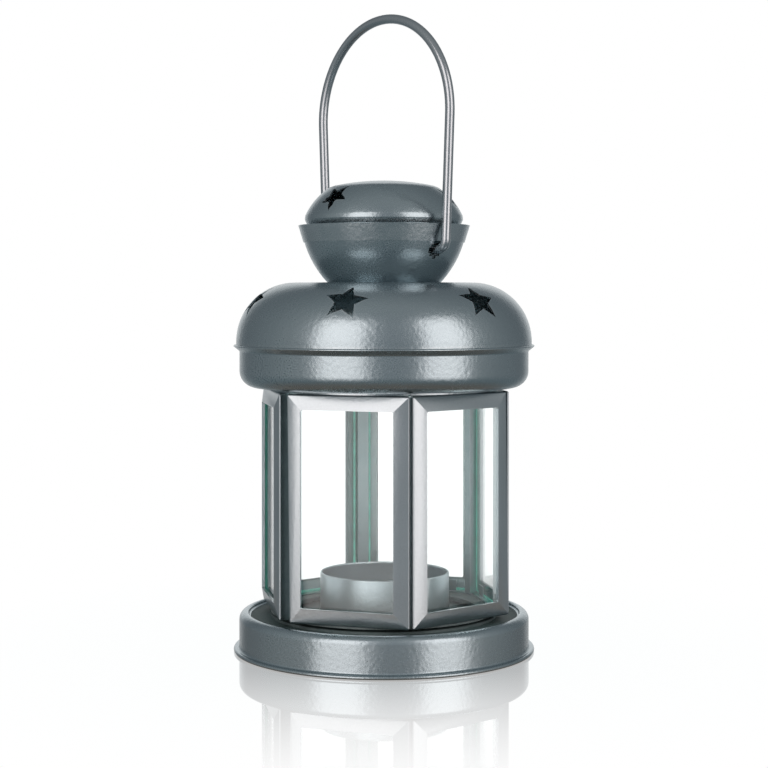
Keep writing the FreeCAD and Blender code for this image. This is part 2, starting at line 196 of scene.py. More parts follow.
def give_wall(bm, gauge, edge_round=0):
    """Thicken a skin inwards, and round its cut edges where a rounding is given."""
    bmesh.ops.solidify(bm, geom=bm.faces[:], thickness=gauge)
    if edge_round:
        cut = [edge for edge in bm.edges
               if len(edge.link_faces) == 2 and edge.calc_face_angle() > radians(CUT_ANGLE)]
        bmesh.ops.bevel(
            bm, geom=cut, offset=edge_round, segments=2, profile=0.5, affect="EDGES", material=-1,
            clamp_overlap=True)


def hand_made(bm, amount, phase):
    """Let a spun skin wander a little out of round, as hand spinning leaves it."""
    for vert in bm.verts:
        turn = atan2(vert.co.y, vert.co.x)
        drift = sum(share * sin(lobes * turn + steps * phase) for share, lobes, steps in WANDER)
        flat = Vector((vert.co.x, vert.co.y, 0))
        if flat.length > MM:
            vert.co += flat.normalized() * amount * drift


def dent(bm, centre, reach, depth):
    """Press a round dent towards the axis, or raise a bump when the depth is negative."""
    for vert in bm.verts:
        gap = (vert.co - centre).length
        if gap < DENT_EDGE * reach:
            flat = Vector((vert.co.x, vert.co.y, 0)).normalized()
            vert.co -= flat * depth * exp(-(gap / reach) ** 2)


def punch_outline(centre, axis, radius, waist, lean=0):
    """Corners of a hole square to an axis: a star, or a round hole when the waist is 1."""
    uphill = (UP - axis * UP.dot(axis)).normalized()
    aside = uphill.cross(axis)
    corners = []
    for step in range(2 * STAR_POINTS):
        reach = radius * (1 if step % 2 == 0 else waist)
        angle = pi / 2 + radians(lean) + step * pi / STAR_POINTS
        corners.append(centre + (aside * cos(angle) + uphill * sin(angle)) * reach)
    return corners


def is_inside(place, corners, axis):
    """Whether a place, seen along an axis, is inside a star-shaped outline."""
    middle = sum(corners, Vector()) / len(corners)
    for first, second in zip(corners, corners[1:] + corners[:1]):
        sides = [(b - a).cross(place - a).dot(axis) for a, b in
                 ((middle, first), (first, second), (second, middle))]
        if min(sides) >= 0 or max(sides) <= 0:
            return True
    return False


def faces_near(bm, centre, reach):
    """Faces whose middles are within reach of a centre."""
    return [face for face in bm.faces if (face.calc_center_median() - centre).length < reach]


def punch(bm, corners, axis):
    """Cut the outline's shape through a skin along an axis."""
    centre = sum(corners, Vector()) / len(corners)
    reach = PUNCH_EDGE * max((corner - centre).length for corner in corners)
    for first, second in zip(corners, corners[1:] + corners[:1]):
        near = faces_near(bm, centre, reach)
        geometry = set(near)
        for face in near:
            geometry.update(face.edges)
            geometry.update(face.verts)
        bmesh.ops.bisect_plane(
            bm, geom=list(geometry), dist=WELD, plane_co=first, plane_no=(second - first).cross(axis))
    waste = [face for face in faces_near(bm, centre, reach)
             if is_inside(face.calc_center_median(), corners, axis)]
    bmesh.ops.delete(bm, geom=waste, context="FACES")


def punch_star_ring(bm, count, first_turn, slope, radius, height, size, lean):
    """Cut stars at even turns round the axis, their middles at a radius and height, square to a slope."""
    for step in range(count):
        outward = outwards(radians(first_turn + step * 360 / count))
        axis = outward * cos(slope) + UP * sin(slope)
        place = outward * radius + UP * height
        punch(bm, punch_outline(place, axis, size, STAR_WAIST, lean), axis)


def finished(name, bm, materials, body, nodes, smooth_angle=35):
    """Make an object of a bmesh, shade it, and hang it on its body in place of its nodes."""
    for face in bm.faces:
        face.smooth = True
    for edge in bm.edges:
        if len(edge.link_faces) == 2:
            edge.smooth = edge.calc_face_angle() < radians(smooth_angle)
    mesh = bpy.data.meshes.new(name)
    bm.to_mesh(mesh)
    bm.free()
    piece = bpy.data.objects.new(name, mesh)
    bpy.context.scene.collection.objects.link(piece)
    for material in materials:
        mesh.materials.append(material)
    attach(piece, body)
    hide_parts(*nodes)


# Finishes -----------------------------------------------------------------------------------------

RIPPLE_CELLS = 1.3     # ripples, drifts of tone and flakes to one hammer dimple
DRIFT_CELLS = 0.05
FLAKE_CELLS = 3.2
DIMPLE_HEIGHT = 0.8
RIPPLE_HEIGHT = 0.9
DRIFT_ROUGH = 0.3      # how far the roughness follows the drift, and falls on a flake
FLAKE_SHINE = 0.2

EDGE_STARTS = 0.53     # pointiness where the painted edge highlight starts, and where it is full
EDGE_FULL = 0.62
PATCH_CELLS = 260.0

GLASS_COLOUR = (0.975, 0.995, 0.99)
GLASS_IOR = 1.5
FILM_CELLS = 90.0
FILM_ROUGH = 0.04
FILM_TINT = 0.96
DUST_CELLS = 420.0
DUST_GONE = 0.10       # distance from the middle of a speck where it has gone, and where it is full
DUST_FULL = 0.04
DUST_ROUGH = 0.12

CHIP_CELLS = 300.0
CHIP_DARK = 0.5
CHIP_LIGHT = 1.6
# Painted light: the pane edges give off a faint glow of their own colour.
PAINTED_EDGE_GLOW = 0.25
EDGE_ROUGH = 0.35


class Nodes:
    """Short calls for adding and linking nodes in one tree."""

    def __init__(self, tree):
        self.tree = tree

    def add(self, kind, values=None, **options):
        """A node with its options set and its sockets given values or links."""
        node = self.tree.nodes.new(kind)
        for name, value in options.items():
            setattr(node, name, value)
        for name, value in (values or {}).items():
            if isinstance(value, bpy.types.NodeSocket):
                self.link(value, node.inputs[name])
            else:
                node.inputs[name].default_value = value
        return node

    def link(self, source, target):
        self.tree.links.new(source, target)

    def maths(self, operation, first, second):
        return self.add("ShaderNodeMath", {0: first, 1: second}, operation=operation).outputs[0]

    def ramp(self, value, start, end, low=0.0, high=1.0):
        """Low at the start value, high at the end value, and even in between."""
        node = self.add("ShaderNodeMapRange", {"Value": value, "From Min": start, "From Max": end,
                                               "To Min": low, "To Max": high})
        return node.outputs["Result"]

    def blend(self, factor, first, second, mode="MIX"):
        """Mix of two colours."""
        node = self.add("ShaderNodeMix", {"Factor": factor, 6: first, 7: second}, data_type="RGBA",
                        blend_type=mode)
        return node.outputs[2]

    def join(self, factor, first, second):
        """Mix of two shaders."""
        return self.add("ShaderNodeMixShader", {0: factor, 1: first, 2: second}).outputs[0]


def new_group(name, inputs, outputs):
    """A shader node group with named sockets, and its input and output nodes."""
    group = bpy.data.node_groups.new(name, "ShaderNodeTree")
    for label, kind in inputs:
        group.interface.new_socket(label, in_out="INPUT", socket_type=kind)
    for label, kind in outputs:
        group.interface.new_socket(label, in_out="OUTPUT", socket_type=kind)
    tree = Nodes(group)
    return group, tree, tree.add("NodeGroupInput").outputs, tree.add("NodeGroupOutput").inputs


def hammered_grain():
    """Node group: fine dimples of hammered paint, with a drift of tone and small bright flakes."""
    if "hammered_grain" in bpy.data.node_groups:
        return bpy.data.node_groups["hammered_grain"]
    group, tree, given, out = new_group(
        "hammered_grain",
        (("Vector", "NodeSocketVector"), ("Color", "NodeSocketColor"), ("Cells", "NodeSocketFloat"),
         ("Roughness", "NodeSocketFloat"), ("Mottle", "NodeSocketFloat")),
        (("Color", "NodeSocketColor"), ("Roughness", "NodeSocketFloat"), ("Height", "NodeSocketFloat")))

    def noise(cells, detail):
        scale = tree.maths("MULTIPLY", given["Cells"], cells)
        return tree.add("ShaderNodeTexNoise", {"Vector": given["Vector"], "Scale": scale, "Detail": detail})

    def mottled(texture):
        swing_of_tone = tree.maths("SUBTRACT", texture.outputs["Fac"], 0.5)
        return tree.maths("MULTIPLY", swing_of_tone, given["Mottle"])

    dimples = tree.add("ShaderNodeTexVoronoi", {"Vector": given["Vector"], "Scale": given["Cells"],
                                                "Smoothness": 1.0}, feature="SMOOTH_F1")
    ripple = noise(RIPPLE_CELLS, 2.0)
    drift = mottled(noise(DRIFT_CELLS, 3.0))
    glint = mottled(noise(FLAKE_CELLS, 1.0))
    height = tree.maths("ADD", tree.maths("MULTIPLY", dimples.outputs["Distance"], DIMPLE_HEIGHT),
                        tree.maths("MULTIPLY", ripple.outputs["Fac"], RIPPLE_HEIGHT))
    tone = tree.maths("ADD", tree.maths("ADD", 1.0, drift), glint)
    rough = tree.maths("ADD", given["Roughness"], tree.maths("MULTIPLY", drift, DRIFT_ROUGH))
    tree.link(tree.blend(1.0, given["Color"], tone, "MULTIPLY"), out["Color"])
    tree.link(tree.maths("SUBTRACT", rough, tree.maths("MULTIPLY", glint, FLAKE_SHINE)), out["Roughness"])
    tree.link(height, out["Height"])
    return group


def edge_highlights():
    """Node group: painted highlight, a bright colour laid in patches along convex edges."""
    if "edge_highlights" in bpy.data.node_groups:
        return bpy.data.node_groups["edge_highlights"]
    group, tree, given, out = new_group(
        "edge_highlights",
        (("Vector", "NodeSocketVector"), ("Color", "NodeSocketColor"), ("Highlight", "NodeSocketColor"),
         ("Amount", "NodeSocketFloat")),
        (("Color", "NodeSocketColor"),))
    pointed = tree.add("ShaderNodeNewGeometry").outputs["Pointiness"]
    patchy = tree.add("ShaderNodeTexNoise", {"Vector": given["Vector"], "Scale": PATCH_CELLS, "Detail": 3.0})
    # Painted highlight: bright where the surface is pointed, in patches.
    edge = tree.ramp(pointed, EDGE_STARTS, EDGE_FULL)
    highlight_mask = tree.maths("MULTIPLY", tree.maths("MULTIPLY", edge, patchy.outputs["Fac"]), given["Amount"])
    tree.link(tree.blend(highlight_mask, given["Color"], given["Highlight"]), out["Color"])
    return group


def new_finish(name):
    """A new material, short calls for its tree, its shader, and its Object coordinates."""
    material = bpy.data.materials.new(name)
    material.use_nodes = True
    tree = Nodes(material.node_tree)
    place = tree.add("ShaderNodeTexCoord").outputs["Object"]
    return material, tree, material.node_tree.nodes["Principled BSDF"], place


def paint(name, colour, roughness, mottle, edge_shine, fineness=1.0, depth=1.0, metallic=1.0):
    """Metallic paint with a painted highlight along convex edges; fineness and depth are shares of the
    hammered grain's own.
    """
    if name in bpy.data.materials:
        return bpy.data.materials[name]
    finish = bpy.context.scene.lantern_finish
    material, tree, shader, place = new_finish(name)
    grain = tree.add("ShaderNodeGroup", node_tree=hammered_grain())
    edges = tree.add("ShaderNodeGroup", node_tree=edge_highlights())
    for group, values in (
            (grain, {"Color": (*colour, 1), "Cells": fineness * finish.grain_cells,
                     "Roughness": roughness, "Mottle": mottle}),
            (edges, {"Highlight": (*finish.edge_highlight, 1), "Amount": edge_shine})):
        tree.link(place, group.inputs["Vector"])
        for label, value in values.items():
            group.inputs[label].default_value = value
    bump = tree.add("ShaderNodeBump", {"Strength": 1.0, "Distance": depth * finish.grain_depth,
                                       "Height": grain.outputs["Height"]})
    tree.link(grain.outputs["Color"], edges.inputs["Color"])
    tree.link(edges.outputs["Color"], shader.inputs["Base Color"])
    tree.link(grain.outputs["Roughness"], shader.inputs["Roughness"])
    tree.link(bump.outputs["Normal"], shader.inputs["Normal"])
    shader.inputs["Metallic"].default_value = metallic
    return material


def hammered_paint():
    """Paint of the foot, the hood and the cap."""
    colour = bpy.context.scene.lantern_finish.hammered
    return paint("hammered_finish", colour, roughness=0.27, mottle=0.22, edge_shine=0.55)


def cup_paint():
    """Paint of the tealight cup, duller than the shells, with more painted edge highlight."""
    colour = bpy.context.scene.lantern_finish.hammered
    return paint("cup_finish", colour, roughness=0.42, mottle=0.25, edge_shine=0.8, fineness=1.2, depth=0.8,
                 metallic=0.9)


def frame_paint():
    """Paint of the window frames' outer side."""
    colour = bpy.context.scene.lantern_finish.frames
    return paint("frame_finish", colour, roughness=0.30, mottle=0.22, edge_shine=0.35, fineness=1.3, depth=0.7)


def inner_shade_paint():
    """Paint on the frames' inner side, darker than the outer side: painted shade inside the lantern."""
    colour = bpy.context.scene.lantern_finish.inside
    return paint("inner_shade_finish", colour, roughness=0.42, mottle=0.35, edge_shine=0.2)


def painted_shade_paint():
    """Dark paint as painted shade: on the sunk floor inside the lantern, and on the fittings that sit in the
    dark gap under the cage.
    """
    colour = bpy.context.scene.lantern_finish.painted_shade
    return paint("painted_shade_finish", colour, roughness=0.60, mottle=0.45, edge_shine=0.3, metallic=0.3)


def wire_paint():
    """Paint of the bail, rubbed smooth by hands."""
    colour = bpy.context.scene.lantern_finish.wire
    return paint("wire_finish", colour, roughness=0.24, mottle=0.16, edge_shine=0.2, fineness=1.3, depth=0.3)


def window_glass():
    """Glass that lets lamps through, with a faint dusty film."""
    name = "window_finish"
    if name in bpy.data.materials:
        return bpy.data.materials[name]
    material, tree, shader, place = new_finish(name)
    film = tree.add("ShaderNodeTexNoise", {"Vector": place, "Scale": FILM_CELLS, "Detail": 4.0})
    dust = tree.add("ShaderNodeTexVoronoi", {"Vector": place, "Scale": DUST_CELLS})
    speck = tree.ramp(dust.outputs["Distance"], DUST_GONE, DUST_FULL, high=DUST_ROUGH)
    rough = tree.maths("ADD", tree.maths("MULTIPLY", film.outputs["Fac"], FILM_ROUGH), speck)
    filmed = [FILM_TINT * part for part in GLASS_COLOUR]
    tree.link(tree.blend(film.outputs["Fac"], (*GLASS_COLOUR, 1), (*filmed, 1)), shader.inputs["Base Color"])
    tree.link(rough, shader.inputs["Roughness"])
    shader.inputs["Metallic"].default_value = 0
    shader.inputs["Transmission Weight"].default_value = 1
    shader.inputs["IOR"].default_value = GLASS_IOR
    clear = tree.add("ShaderNodeBsdfTransparent", {"Color": (*GLASS_COLOUR, 1)})
    path = tree.add("ShaderNodeLightPath").outputs
    passing = tree.maths("MAXIMUM", path["Is Shadow Ray"], path["Is Diffuse Ray"])
    tree.link(tree.join(passing, shader.outputs[0], clear.outputs[0]),
              material.node_tree.nodes["Material Output"].inputs["Surface"])
    return material


def glass_edge():
    """Ground edge of a pane, green from the depth of glass behind it, with a faint painted glow."""
    name = "glass_edge_finish"
    if name in bpy.data.materials:
        return bpy.data.materials[name]
    material, tree, shader, place = new_finish(name)
    chips = tree.add("ShaderNodeTexNoise", {"Vector": place, "Scale": CHIP_CELLS, "Detail": 3.0})
    green = bpy.context.scene.lantern_finish.glass_edge
    dark = [CHIP_DARK * part for part in green]
    light = [min(1, CHIP_LIGHT * part) for part in green]
    tone = tree.blend(chips.outputs["Fac"], (*dark, 1), (*light, 1))
    tree.link(tone, shader.inputs["Base Color"])
    tree.link(tone, shader.inputs["Emission Color"])
    shader.inputs["Emission Strength"].default_value = PAINTED_EDGE_GLOW
    shader.inputs["Roughness"].default_value = EDGE_ROUGH
    return material


# Foot and cup -------------------------------------------------------------------------------------

FOOT_FLANGE = 1.8 * MM
FOOT_SHOULDER = 2.5 * MM
FOOT_BORE = 2.4 * MM
HEM_GAP = 0.1 * MM
HEM_STEPS = 8
BACK_TO_BACK = 0.97                               # keeps two bends that meet a hair apart
# Angle round the foot, share of its height, depth.
FOOT_DENTS = ((-65, 0.5, 0.05 * MM), (-18, 0.4, 0.06 * MM), (75, 0.6, 0.05 * MM), (160, 0.45, 0.06 * MM))
FOOT_DENT_REACH = 2.2 * MM


class LANTERN_OT_foot(Operator):
    """Spin the foot: a hemmed flange, a wall, a rolled rim and a sunk floor."""
    bl_idname = "lantern.foot"
    bl_label = "Foot"

    def execute(self, context):
        sheet = context.scene.lantern_sheet
        low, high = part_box("base_pan")
        bend = sheet.tight_bend
        wall = high.x - FOOT_FLANGE
        rim = wall - FOOT_SHOULDER - bend
        floor = high.z - 2 * bend
        hem = 2 * sheet.gauge + HEM_GAP
        bm, last = start_profile(wall - sheet.gauge, low.z)
        last = run_to(bm, last, high.x - hem / 2, low.z)
        last = swing(bm, last, (high.x - hem / 2, low.z + hem / 2), 180, HEM_STEPS)
        corners = []
        for radius, height, corner_bend in (
                (wall, low.z + hem, bend), (wall, high.z, FOOT_SHOULDER),
                (rim, high.z, BACK_TO_BACK * bend), (rim, floor, BACK_TO_BACK * bend)):
            last = run_to(bm, last, radius, height)
            corners.append((last, corner_bend))
        run_to(bm, last, FOOT_BORE, floor)
        for corner, corner_bend in corners:
            round_corner(bm, corner, corner_bend, 2 * sheet.bend_steps)
        spin_shell(bm, sheet.turns)
        hand_made(bm, amount=0.04 * MM, phase=0.7)
        for angle, height, depth in FOOT_DENTS:
            dent(bm, outwards(radians(angle)) * wall + UP * height * high.z, FOOT_DENT_REACH, depth)
        give_wall(bm, sheet.gauge, sheet.edge_round)
        # Painted shade: faces of the sunk floor inside the rim take the dark shade paint.
        for face in bm.faces:
            middle = face.calc_center_median()
            if middle.xy.length < rim - bend and middle.z > low.z + MM:
                face.material_index = 1
        finished("foot", bm, [hammered_paint(), painted_shade_paint()], "base", ["base_pan"])
        return {"FINISHED"}


CUP_BEAD = 0.45 * MM
CUP_BEAD_STEPS = 3
CUP_RETURN = 0.05 * MM
CUP_HEEL = 1.2 * MM


class LANTERN_OT_cup(Operator):
    """Press the tealight cup with a rolled rim."""
    bl_idname = "lantern.cup"
    bl_label = "Tealight cup"

    def execute(self, context):
        sheet = context.scene.lantern_sheet
        low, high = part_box("candle_cup")
        bm, last = start_profile(FOOT_BORE, low.z)
        heel = run_to(bm, last, high.x, low.z)
        last = run_to(bm, heel, high.x, high.z - 2 * CUP_BEAD)
        last = swing(bm, last, (high.x - CUP_BEAD, high.z - 2 * CUP_BEAD), 90, CUP_BEAD_STEPS)
        run_to(bm, last, high.x - CUP_BEAD - CUP_RETURN, high.z - CUP_BEAD)
        round_corner(bm, heel, CUP_HEEL, sheet.bend_steps)
        spin_shell(bm, sheet.turns // 2)
        hand_made(bm, amount=0.06 * MM, phase=1.9)
        give_wall(bm, sheet.gauge, sheet.edge_round)
        finished("tealight_cup", bm, [cup_paint()], "base", ["candle_cup"])
        return {"FINISHED"}


# Hood and cap -------------------------------------------------------------------------------------

DOME_STEP = 1.0 * MM
RING_WIDTH = 7.5 * MM
PAN_BEND = 5.4 * MM
PAN_FLARE = 2.1 * MM
LIP_DROP = MM / 3
LIP_BEAD = 0.5 * MM
LIP_BEAD_STEPS = 6
DOME_BEND = 19.4 * MM
DOME_STEPS = 30
NECK_BORE = 14.0 * MM
DOME_STAR = 7.3 * MM
DOME_STAR_SLOPE = radians(45)
DOME_STAR_TURN = 3
DOME_STAR_LEAN = -6


class LANTERN_OT_hood(Operator):
    """Spin the hood's pan with its flared lip, and the dome with its ring of stars."""
    bl_idname = "lantern.hood"
    bl_label = "Hood"

    def execute(self, context):
        sheet = context.scene.lantern_sheet
        low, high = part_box("hood_pan")
        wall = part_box("hood_dome")[1].x - DOME_STEP
        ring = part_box("cage_top_ring")[1].x - RING_WIDTH
        lip = high.z - LIP_DROP
        bm, last = start_profile(ring, low.z)
        heel = run_to(bm, last, wall, low.z)
        flare = run_to(bm, heel, wall, lip - PAN_FLARE)
        last = run_to(bm, flare, high.x, lip - LIP_BEAD)
        last = swing(bm, last, (high.x - LIP_BEAD, lip - LIP_BEAD), 90, LIP_BEAD_STEPS)
        run_to(bm, last, high.x - 2 * LIP_BEAD, lip)
        round_corner(bm, heel, PAN_BEND, 3 * sheet.bend_steps)
        round_corner(bm, flare, sheet.tight_bend, 2 * sheet.bend_steps)
        spin_shell(bm, sheet.turns)
        hand_made(bm, amount=0.05 * MM, phase=2.4)
        give_wall(bm, sheet.gauge, sheet.edge_round)
        finished("hood_skirt", bm, [hammered_paint()], "cage", ["hood_pan"])

        low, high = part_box("hood_dome")
        centre = (high.x - DOME_BEND, high.z - DOME_BEND)
        bm, last = start_profile(high.x, low.z)
        last = run_to(bm, last, high.x, centre[1])
        last = swing(bm, last, centre, 90, DOME_STEPS)
        run_to(bm, last, NECK_BORE, high.z)
        spin_shell(bm, sheet.turns)
        hand_made(bm, amount=0.05 * MM, phase=0.3)
        punch_star_ring(
            bm, SIDES, DOME_STAR_TURN, DOME_STAR_SLOPE, centre[0] + DOME_BEND * cos(DOME_STAR_SLOPE),
            centre[1] + DOME_BEND * sin(DOME_STAR_SLOPE), DOME_STAR, DOME_STAR_LEAN)
        give_wall(bm, sheet.gauge)
        finished("hood_dome_skin", bm, [hammered_paint()], "cage", ["hood_dome"])
        return {"FINISHED"}


NECK_FOOT = 18.0 * MM
BOWL_BULGE = 32.8 * MM
BOWL_STEPS = 16
BAND_HEIGHT = 5.4 * MM
BAND_STEP = 0.5 * MM
BAND_FLARE = 1.6 * MM
BAND_GROOVE = 0.35 * MM
# Angle round the band, height above its foot, reach, depth.
BAND_DENTS = ((-62, 1.6 * MM, 0.9 * MM, 0.22 * MM), (-58, 0.4 * MM, 0.7 * MM, -0.14 * MM),
              (-47, 0.3 * MM, 0.7 * MM, 0.12 * MM), (-42, 0.2 * MM, 0.5 * MM, 0.12 * MM),
              (60, 1.4 * MM, 1.2 * MM, 0.12 * MM), (150, 0.6 * MM, 0.8 * MM, 0.14 * MM))
WIRE_R = 1.55 * MM
WIRE_HOLE = 2.7 * MM
WIRE_HOLE_AT = 24.8 * MM
CAP_SKIRT = 6.6 * MM
CAP_TUCK = 0.55 * MM
CAP_TUCK_HEIGHT = 1.7 * MM
CAP_BEAD = 0.15 * MM
CAP_BEAD_HEIGHT = 1.2 * MM
CAP_BROW = 2.0 * MM
CROWN_R = 17.7 * MM
CROWN_DROP = 2.0 * MM
CAP_SIDE = 22.0 * MM
CAP_CROWN = 79.0 * MM
CAP_STEPS = 12
CREST_BEND = 9.0 * MM
CAP_STARS = 3
CAP_STAR = 5.7 * MM
CAP_STAR_LEAN = -28
CAP_STAR_AT = 21.9 * MM
CAP_STAR_HEIGHT = 13.4 * MM
CAP_STAR_SLOPE = radians(45)
CAP_STAR_TURN = 33


class LANTERN_OT_cap(Operator):
    """Spin the cap's bowl with its flared band, and the cap's dome with its stars."""
    bl_idname = "lantern.cap"
    bl_label = "Cap"

    def execute(self, context):
        sheet = context.scene.lantern_sheet
        low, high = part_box("cap_bowl")
        band = high.z - BAND_HEIGHT
        edge = high.x - BAND_FLARE - BAND_STEP
        bm, last = start_profile(NECK_BORE, low.z)
        last = run_to(bm, last, NECK_FOOT, low.z)
        last = bulge_to(bm, last, edge, band - BAND_GROOVE, BOWL_BULGE, BOWL_STEPS)
        last = run_to(bm, last, edge - BAND_GROOVE, band)
        last = run_to(bm, last, high.x - BAND_FLARE, band + BAND_GROOVE / 2)
        run_to(bm, last, high.x, high.z)
        spin_shell(bm, sheet.turns)
        hand_made(bm, amount=0.05 * MM, phase=1.2)
        for angle, height, reach, depth in BAND_DENTS:
            dent(bm, outwards(radians(angle)) * high.x + UP * (band + height), reach, depth)
        for outward in (Vector((1, 0, 0)), Vector((-1, 0, 0))):
            place = outward * WIRE_HOLE_AT + UP * (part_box("wire_handle")[0].z + WIRE_R)
            punch(bm, punch_outline(place, outward, WIRE_HOLE, 1), outward)
        give_wall(bm, sheet.gauge)
        finished("cap_bowl_skin", bm, [hammered_paint()], "cage", ["cap_bowl"])

        low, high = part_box("cap_dome")
        bead = low.z + CAP_SKIRT
        bm, last = start_profile(high.x - CAP_TUCK, low.z)
        neck = run_to(bm, last, high.x - CAP_TUCK, bead - CAP_TUCK_HEIGHT)
        rim = run_to(bm, neck, high.x + CAP_BEAD, bead)
        brow = run_to(bm, rim, high.x + CAP_BEAD / 2, bead + CAP_BEAD_HEIGHT)
        crest = bulge_to(bm, brow, CROWN_R, high.z - CROWN_DROP, CAP_SIDE, CAP_STEPS)
        bulge_to(bm, crest, 0, high.z, CAP_CROWN, CAP_STEPS)
        round_corner(bm, rim, CAP_TUCK, sheet.bend_steps)
        round_corner(bm, brow, CAP_BROW, sheet.bend_steps)
        round_corner(bm, crest, CREST_BEND, sheet.bend_steps)
        spin_shell(bm, sheet.turns)
        hand_made(bm, amount=0.04 * MM, phase=2.9)
        punch_star_ring(bm, CAP_STARS, CAP_STAR_TURN, CAP_STAR_SLOPE, CAP_STAR_AT, low.z + CAP_STAR_HEIGHT,
                        CAP_STAR, CAP_STAR_LEAN)
        give_wall(bm, sheet.gauge)
        finished("cap_dome_skin", bm, [hammered_paint()], "cage", ["cap_dome"])
        return {"FINISHED"}


# Window frames ------------------------------------------------------------------------------------

FRAME_WIDTH = 41.6 * MM
FRAME_BAR = 5.4 * MM
FRAME_DROP = 0.85 * MM
FRAME_RISE = 0.45 * MM
FRAME_RETURN = 0.55 * MM
FRONT_DEPTH = 2.7 * MM
WALL_LEAN = tan(radians(180 / SIDES))
FRAME_CORNER = 0.6 * MM
FRAME_CORNER_STEPS = 8
WINDOW_CORNER = 0.6 * MM
WINDOW_CORNER_STEPS = 4
MITRE_ANGLE = 12.5                                # degrees; a sharper edge is shaded as a fold
# Faces turned further inwards than this take the darker inner paint, as painted shade.
FACES_IN = -0.5
# By side: how far each outer corner moves along the side and outwards.
FRAME_SKEW = {
    6: ((-0.9 * MM, 0.75 * MM), (0, -0.4 * MM), (0, -0.4 * MM), (0, 0.75 * MM)),
    1: ((0, 0), (-1.2 * MM, 0), (0, 0), (0, 0)),
}


def frame_front(sheet, height, skew):
    """Front of one frame in its own plane: x along the side, y outwards, z up from its foot.

    The skew moves its outer corners, as a frame folded a little out of true."""
    half = FRAME_WIDTH / 2 - FRAME_DROP * WALL_LEAN
    bm = bmesh.new()
    corners = [bm.verts.new((x, -FRAME_DROP, z))
               for x, z in ((half, 0), (-half, 0), (-half, height), (half, height))]
    face = bm.faces.new(corners)
    face.normal_update()
    bmesh.ops.inset_individual(
        bm, faces=[face], thickness=FRAME_BAR - FRAME_DROP * WALL_LEAN, depth=FRAME_DROP + FRAME_RISE,
        use_even_offset=True)
    bmesh.ops.delete(bm, geom=[face], context="FACES_ONLY")
    for corner, shift in zip(corners, skew):
        corner.co += Vector((shift[0], shift[1], 0))
    outside = [edge for edge in bm.edges if all(vert in corners for vert in edge.verts)]
    deep = pulled_verts(bm, outside)
    wall_corners = [edge for vert in deep for edge in vert.link_edges if edge.other_vert(vert) in corners]
    for vert in deep:
        vert.co.y = -FRONT_DEPTH
        vert.co.x = copysign(FRAME_WIDTH / 2 - FRONT_DEPTH * WALL_LEAN, vert.co.x)
    bmesh.ops.bevel(
        bm, geom=outside + wall_corners, offset=FRAME_CORNER, segments=FRAME_CORNER_STEPS, profile=0.5,
        affect="EDGES", material=-1, clamp_overlap=True)
    window = [vert for vert in bm.verts if vert.co.y > 0]
    bmesh.ops.bevel(
        bm, geom=window, offset=WINDOW_CORNER, segments=WINDOW_CORNER_STEPS, profile=0.5,
        affect="VERTICES", material=-1)
    inner = [edge for edge in bm.edges if edge.is_boundary and min(vert.co.y for vert in edge.verts) > 0]
    for vert in pulled_verts(bm, inner):
        vert.co.y = -FRAME_RETURN
    bmesh.ops.recalc_face_normals(bm, faces=bm.faces[:])
    front = max(bm.faces, key=lambda item: item.calc_area())
    if front.normal.y < 0:
        bmesh.ops.reverse_faces(bm, faces=bm.faces[:])
    bmesh.ops.solidify(bm, geom=bm.faces[:], thickness=sheet.frame_gauge)
    return bm


def pulled_verts(bm, edges):
    """Pull new faces out of edges, and give the vertices at their far end."""
    pulled = bmesh.ops.extrude_edge_only(bm, edges=edges)["geom"]
    return [item for item in pulled if isinstance(item, bmesh.types.BMVert)]


def frame_rear(node, cut, square):
    """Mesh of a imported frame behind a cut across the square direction, with the cut closed."""
    bm = bmesh.new()
    bm.from_mesh(node.data)
    bmesh.ops.remove_doubles(bm, verts=bm.verts[:], dist=WELD)
    bmesh.ops.bisect_plane(
        bm, geom=bm.verts[:] + bm.edges[:] + bm.faces[:], dist=WELD, plane_co=cut, plane_no=square,
        clear_outer=True)
    bmesh.ops.bridge_loops(bm, edges=[edge for edge in bm.edges if edge.is_boundary])
    rear = bpy.data.meshes.new("rear")
    bm.to_mesh(rear)
    bm.free()
    return rear


class LANTERN_OT_window_frames(Operator):
    """Press the six window frames: mitred bars that rise towards the window, and folded walls."""
    bl_idname = "lantern.window_frames"
    bl_label = "Window frames"

    def execute(self, context):
        sheet = context.scene.lantern_sheet
        low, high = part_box("window_frame_1")
        for side in range(1, SIDES + 1):
            angle = radians(SIDE_TURN * (side - 1) - 90)
            turned = Matrix.Rotation(angle, 4, "Z")
            square = turned @ ACROSS
            pane_low, pane_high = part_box(f"glass_pane_{side}")
            shift = outwards(angle).dot((pane_low + pane_high) / 2)
            bm = frame_front(sheet, high.z - low.z, FRAME_SKEW.get(side, ()))
            place = turned @ Matrix.Translation((shift, high.x, low.z))
            bmesh.ops.transform(bm, matrix=place, verts=bm.verts[:])
            cut = turned @ Vector((0, high.x - FRONT_DEPTH, low.z))
            rear = frame_rear(NODES[f"window_frame_{side}"], cut, square)
            bm.from_mesh(rear)
            bpy.data.meshes.remove(rear)
            bm.normal_update()
            # Painted shade: faces turned inwards get the darker inner paint.
            for face in bm.faces:
                face.material_index = 1 if face.normal.dot(square) < FACES_IN else 0
            finished(f"window_frame_skin_{side}", bm, [frame_paint(), inner_shade_paint()], "cage",
                     [f"window_frame_{side}"], smooth_angle=MITRE_ANGLE)
        return {"FINISHED"}


# Glass and fittings -------------------------------------------------------------------------------

PANE_ARRIS = 0.85 * MM
PANE_SET_BACK = 0.45 * MM
PANE_FLAT = 5                                     # degrees between faces that count as one


